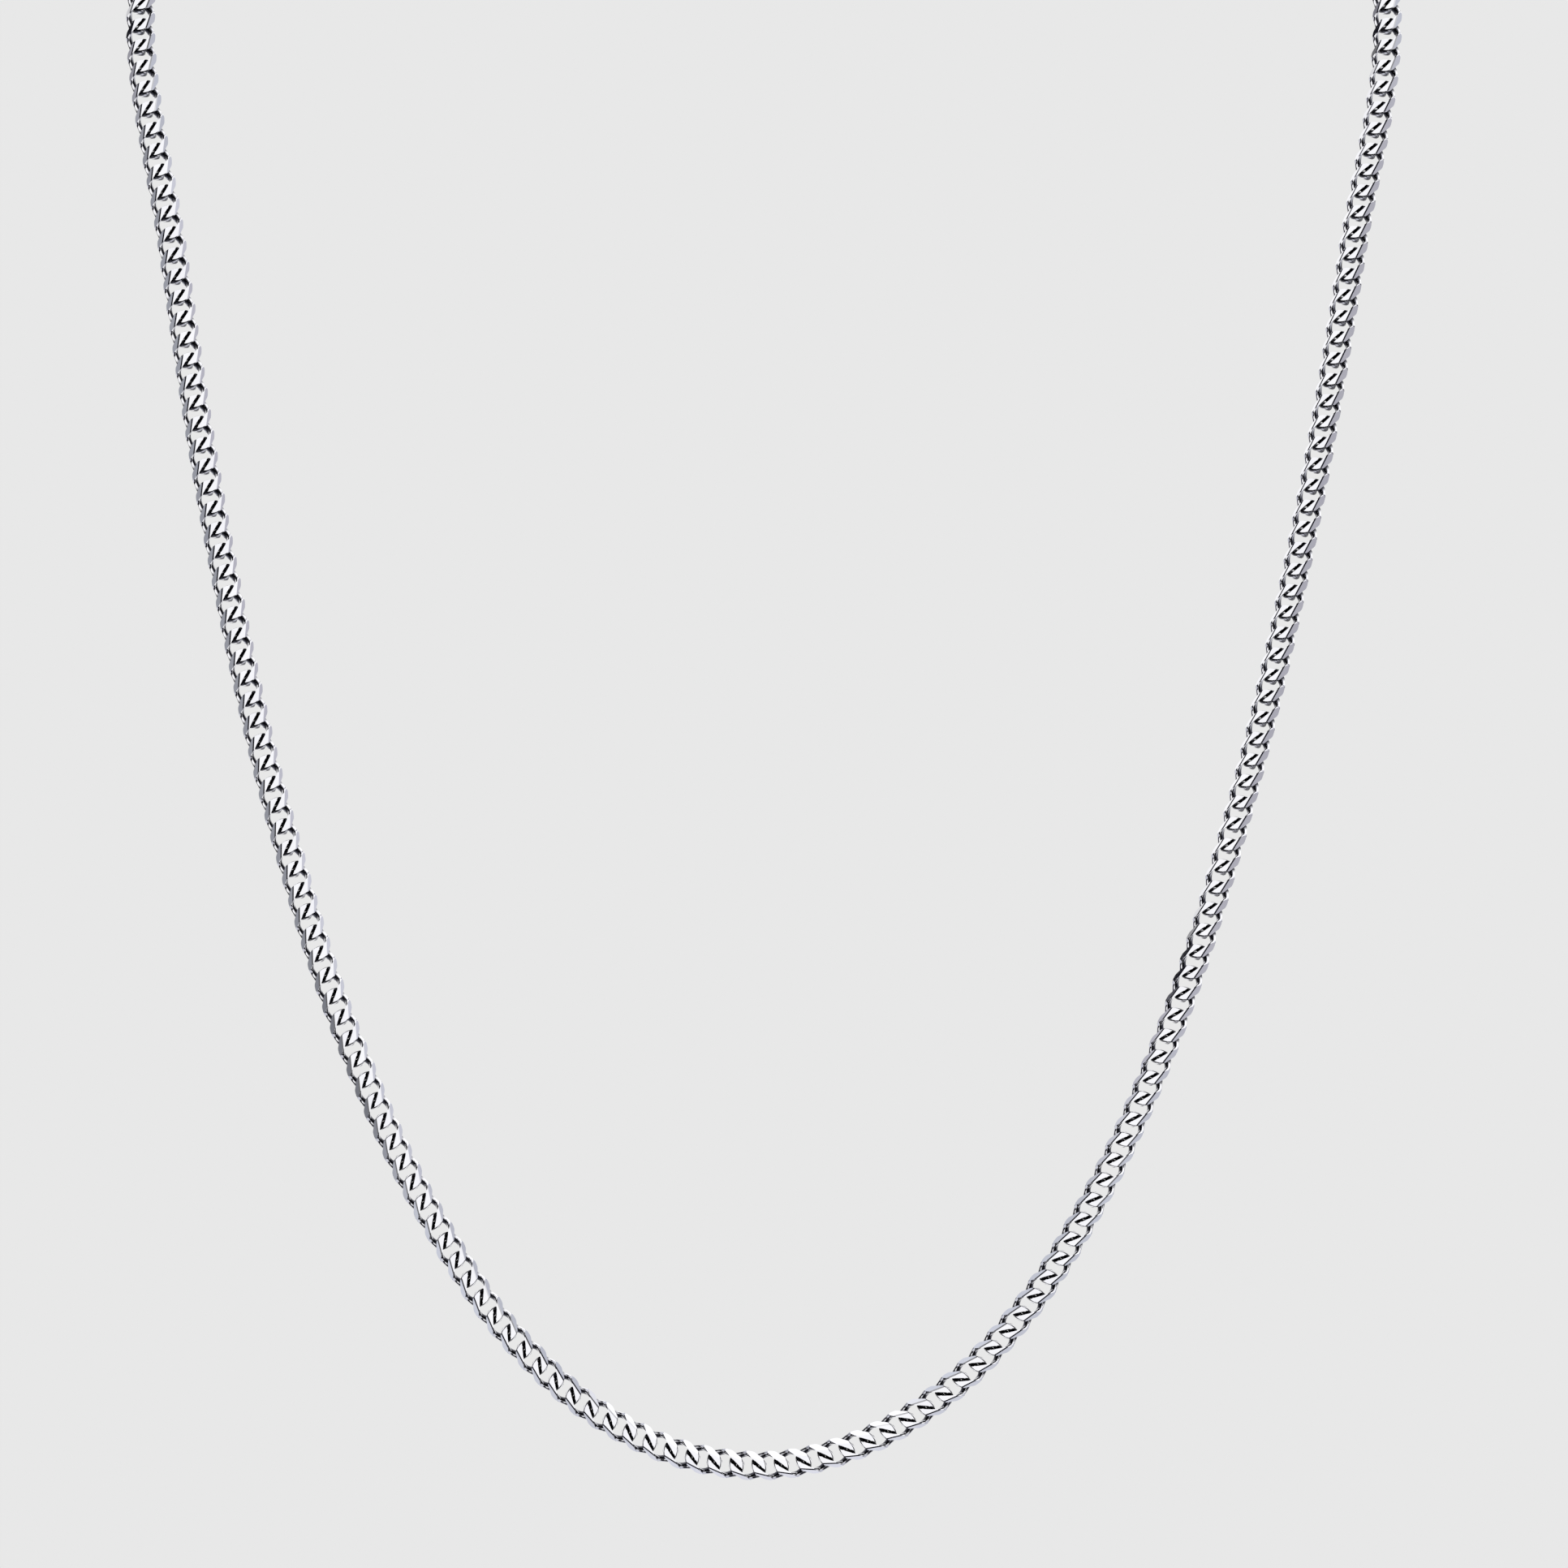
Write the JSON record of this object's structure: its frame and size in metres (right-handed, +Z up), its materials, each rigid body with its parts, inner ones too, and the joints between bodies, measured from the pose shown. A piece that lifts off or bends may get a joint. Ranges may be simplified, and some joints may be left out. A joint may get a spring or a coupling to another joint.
{
  "type": "neck chain",
  "caption": "Flat diamond-cut curb link neck chain in polished silver, hanging in a U with its clasp at the nape.",
  "frame": {"origin": "middle of the clasp at the nape, where the worn chain rests on the neck", "axes": "+Z up, +X to the right of the picture, the chain's front looks along -Y"},
  "size_m": [0.1336, 0.068, 0.2023],
  "materials": {
    "silver": "polished"
  },
  "bodies": {
    "root": {"chain_left": "silver", "chain_right": "silver", "chain_back_left": "silver", "chain_back_right": "silver", "clasp": "silver"}
  },
  "joints": []
}
